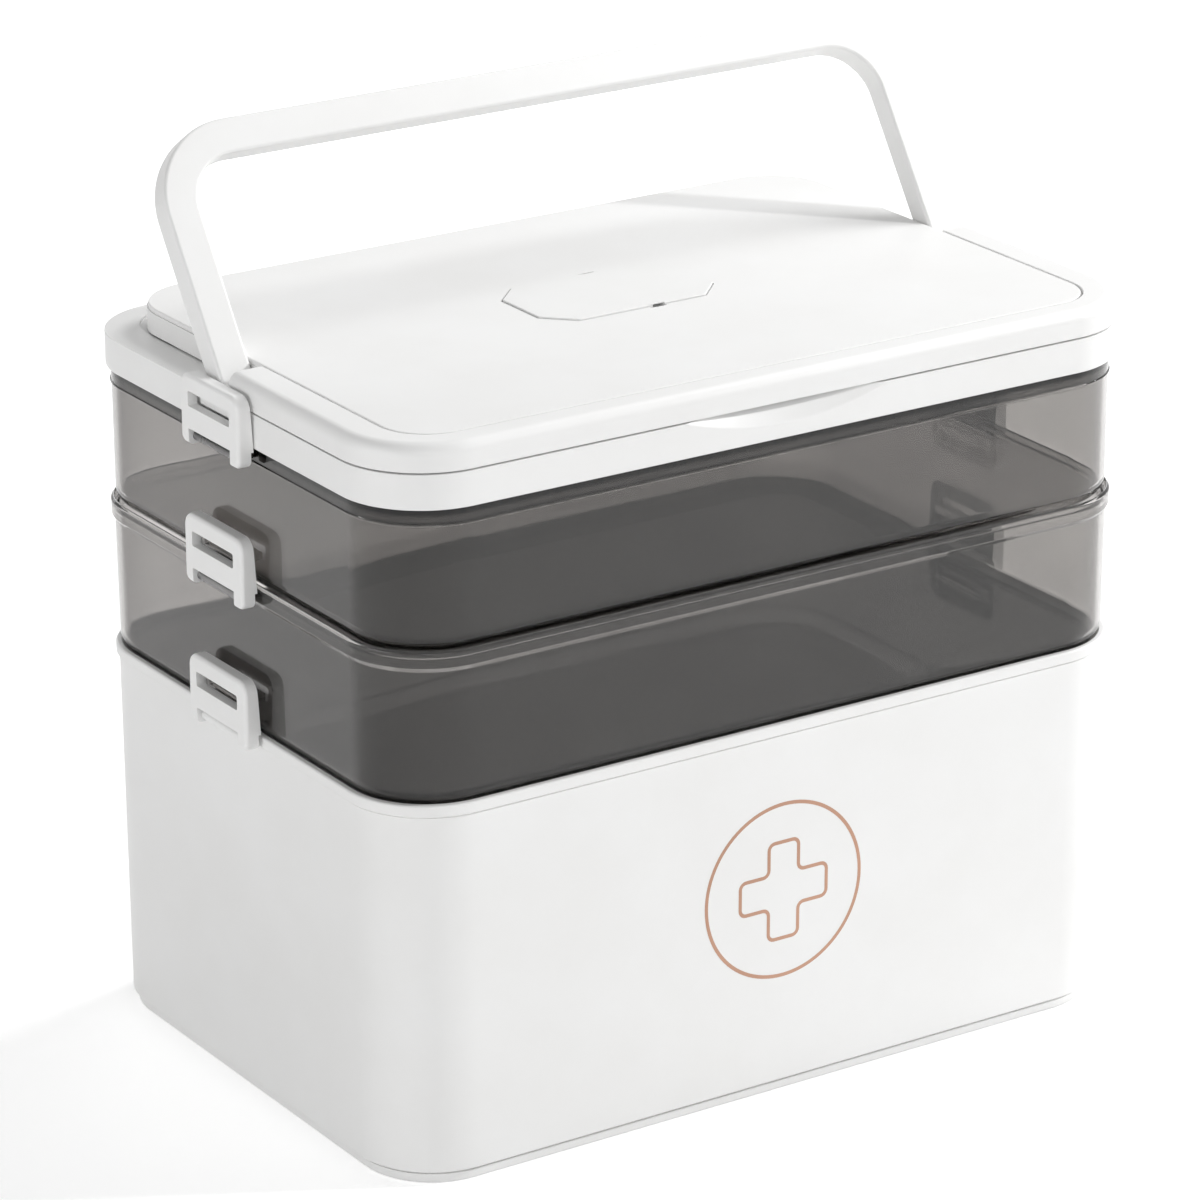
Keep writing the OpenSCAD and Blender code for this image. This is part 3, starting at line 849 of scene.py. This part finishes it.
def from_pivot(x, reach, rise):
    """A point of the raised handle, from its place on the handle lying flat, in millimetres."""
    angle = radians(handle_angle)
    return (x, pivot_y + reach * cos(angle) - rise * sin(angle),
            pivot_z + reach * sin(angle) + rise * cos(angle))


route = bmesh.new()
stations = [route.verts.new(from_pivot(x, reach, bar_middle)) for x, reach in (
    (-arm_x, arm_foot), (-arm_x, grip_reach), (arm_x, grip_reach), (arm_x, arm_foot))]
for one, other in zip(stations, stations[1:]):
    route.edges.new((one, other))
handle = new_piece("handle", route)
run_tree(handle, sweep_tree("bar_sweep"), **{
    "Width": bar_width * MM, "Thickness": bar_wall * MM, "Edge": bar_edge * MM, "Edge Steps": 4,
    "Bend": bend_radius * MM, "Bend Steps": 28, "Finish": satin_white})
weld(handle, [block((-beyond, -beyond, 0), (beyond, beyond, seam_z + 0.3))], cut=True)


def arc(radius, start, end, step):
    """Points on a circle round the pivot, in degrees from the handle's own direction."""
    return [(radius * cos(radians(a)), radius * sin(radians(a))) for a in range(start, end + 1, step)]


# Each ear is a lobed plate round the pin, with a neck that goes up into the arm.
ear = arc(ear_radius, -16, 60, 4) + [(ear_back, 14), (-ear_back, 14)]
ear += arc(ear_radius, 120, 140, 4) + arc(ear_back, 140, 344, 12)
ear_outline = [from_pivot(0, reach, rise)[1:] for reach, rise in ear]
weld(handle, both_sides(lambda side: prism(
    "ear", ear_outline, *sorted((side * ear_low, side * ear_high)), "X")))
weld(handle, [rod((-beyond, pivot_y, pivot_z), (beyond, pivot_y, pivot_z), pivot_bore, 32)], cut=True)
dress(handle, satin_white, "bail", "white_shell", "handle")

# Clips
# Six white snap clips, one each side of every joint between tiers, swinging on steel pins.
# Each is a rounded plate with side flanges, a window for the catch and two legs to the pin.
clip_half = 20.5
clip_low = -3.0
clip_up = 23.2
clip_face = 3.1
clip_plate = 3.8
clip_flange = 2.8
clip_bore_half = 18.8
flange_in = -3.2
flange_foot = 2.6
flange_lean = 3.5
leg_in = 14.7
leg_back = -2.2
window_low, window_high = 11.4, 17.0


def make_clip_form():
    """One clip with its pin's axis along Y through the origin and its face towards +X."""
    form = prism("clip_form", soft_outline([
        (clip_half, clip_low, 3.0), (clip_half, clip_up, 5.0),
        (-clip_half, clip_up, 5.0), (-clip_half, clip_low, 3.0)]), flange_in, clip_face, "X")
    ease_edges(form, 1.6, 4, 60, lambda place: place.x > clip_face - 0.1)

    # The flanges get a little deeper towards their feet.
    back = block((-19, -40, flange_foot), (flange_in, 40, 60))
    foot = Matrix.Translation(Vector((flange_in, 0, flange_foot)) * MM)
    back.data.transform(foot @ Matrix.Rotation(radians(flange_lean), 4, "Y") @ foot.inverted())
    window = prism("window", soft_outline([
        (-leg_in, window_low, 0.9), (leg_in, window_low, 0.9),
        (leg_in, window_high, 0.9), (-leg_in, window_high, 0.9)], 3), -9, 9, "X")
    inner_half = clip_half - clip_flange
    hollow = block((-9, -inner_half, 3.1), (clip_face - clip_plate, inner_half, clip_up - 2.2))
    between_legs = block((-9, -leg_in, -9), (9, leg_in, 3))
    behind_legs = block((-9, -40, -9), (leg_back, 40, 2.65))
    bore = rod((0, -clip_bore_half, 0), (0, clip_bore_half, 0), pin_bore, 24)
    weld(form, [hollow, between_legs, behind_legs, back, window, bore], cut=True)
    return form


clip_form = make_clip_form()


def placing_tree():
    """Geometry nodes: puts a copy of the clip at its hinge, turned to face out on its own side."""
    tree = bpy.data.node_groups.new("clip_placing", "GeometryNodeTree")
    made = tree.interface
    made.new_socket("Geometry", in_out="INPUT", socket_type="NodeSocketGeometry")
    made.new_socket("Form", in_out="INPUT", socket_type="NodeSocketObject")
    made.new_socket("Turn", in_out="INPUT", socket_type="NodeSocketFloat")
    made.new_socket("Finish", in_out="INPUT", socket_type="NodeSocketMaterial")
    made.new_socket("Geometry", in_out="OUTPUT", socket_type="NodeSocketGeometry")
    nodes, links = tree.nodes, tree.links
    inside, outside = nodes.new("NodeGroupInput"), nodes.new("NodeGroupOutput")
    form = nodes.new("GeometryNodeObjectInfo")
    spin = nodes.new("ShaderNodeCombineXYZ")
    put = nodes.new("GeometryNodeInstanceOnPoints")
    real = nodes.new("GeometryNodeRealizeInstances")
    finish = nodes.new("GeometryNodeSetMaterial")
    links.new(inside.outputs["Form"], form.inputs["Object"])
    links.new(inside.outputs["Turn"], spin.inputs["Z"])
    links.new(inside.outputs["Geometry"], put.inputs["Points"])
    links.new(form.outputs["Geometry"], put.inputs["Instance"])
    links.new(spin.outputs["Vector"], put.inputs["Rotation"])
    links.new(put.outputs["Instances"], real.inputs["Geometry"])
    links.new(real.outputs["Geometry"], finish.inputs["Geometry"])
    links.new(inside.outputs["Finish"], finish.inputs["Material"])
    links.new(finish.outputs["Geometry"], outside.inputs["Geometry"])
    return tree


clip_placing = placing_tree()
for tier, side in clip_names:
    out = 1 if side == "right" else -1
    hinge = bmesh.new()
    hinge.verts.new((out * clip_hinge_x, 0, clip_hinge_z[tier]))
    clip = new_piece(f"clip_{tier}_{side}", hinge)
    run_tree(clip, clip_placing, Form=clip_form, Turn=0.0 if side == "right" else pi, Finish=satin_white)
    dress(clip, satin_white, f"{tier}_{side}_clip", "white_shell", f"clip_{tier}_{side}")
bpy.data.objects.remove(clip_form)

# Pins
# Bright steel wire pins: the hinge pins of the clips and of the flip cover, and the handle's pivots.
# They keep their own solids and get a drawn-wire finish.
pin_steel, nodes, links = new_material("pin_steel")
skin = skin_on(nodes, links, nodes.new("ShaderNodeTexCoord"), 6, 0.3)
colour = tint_by(nodes, links, skin.outputs["Mottle"], 0, 1, (0.48, 0.48, 0.49), (0.66, 0.67, 0.69))
gloss = range_by(nodes, links, skin.outputs["Patches"], 0, 1, 0.18, 0.42)
surface = nodes["Principled BSDF"]
surface.inputs["Metallic"].default_value = 1.0
links.new(colour, surface.inputs["Base Color"])
links.new(gloss, surface.inputs["Roughness"])
for name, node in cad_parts.items():
    if "pin" in name:
        node.data.materials.clear()
        node.data.materials.append(pin_steel)

# Front emblem
# A ring with an outlined cross, screen printed on the front in rose-gold ink.
# The ink is a thin film, so it is built as a very low ribbon on the sloping wall.
emblem_x = 1.3
emblem_z = 81.1
emblem_radius = 33.8
line_width = 1.4
ink_height = 0.12
cross_reach = 19.0
cross_half = 6.5
cross_bend = 2.5
ring_points = 96


def wall_front(z):
    """Where the base's front wall stands at a height, from its section's two ends."""
    rise = (z - wall_foot) / (base_rim_foot - wall_foot)
    return wall_foot_inset - (wall_foot_inset - wall_inset) * rise - lid_depth / 2


def ink_loop(mesh, points):
    """A closed line on the front wall, through points given from the emblem's middle."""
    loop = []
    for x, z in points:
        height = emblem_z + z
        loop.append(mesh.verts.new((emblem_x + x, wall_front(height), height)))
    for i, vertex in enumerate(loop):
        mesh.edges.new((vertex, loop[(i + 1) % len(loop)]))


def cross_points(reach, half):
    """The twelve corners of an upright cross."""
    quarter = [(reach, -half), (reach, half), (half, half)]
    points = []
    for turn in range(4):
        for x, z in quarter:
            for step in range(turn):
                x, z = -z, x
            points.append((x, z))
    return points


lines = bmesh.new()
turns = [2 * pi * i / ring_points for i in range(ring_points)]
ink_loop(lines, [(emblem_radius * cos(turn), emblem_radius * sin(turn)) for turn in turns])
ink_loop(lines, cross_points(cross_reach, cross_half))
front_emblem = new_piece("front_emblem", lines)
rose_gold = moulded_plastic("rose_gold_ink", (0.47, 0.27, 0.185), (0.41, 0.23, 0.155), 0.38, 0.25)
rose_gold.node_tree.nodes["Principled BSDF"].inputs["Metallic"].default_value = 0.4
run_tree(front_emblem, sweep_tree("ink_sweep", (0, -1, 0)), **{
    "Width": ink_height * MM, "Thickness": line_width * MM, "Edge": 0.02 * MM, "Edge Steps": 1,
    "Bend": cross_bend * MM, "Bend Steps": 5, "Finish": rose_gold})
dress(front_emblem, rose_gold, "base", "print_ink")
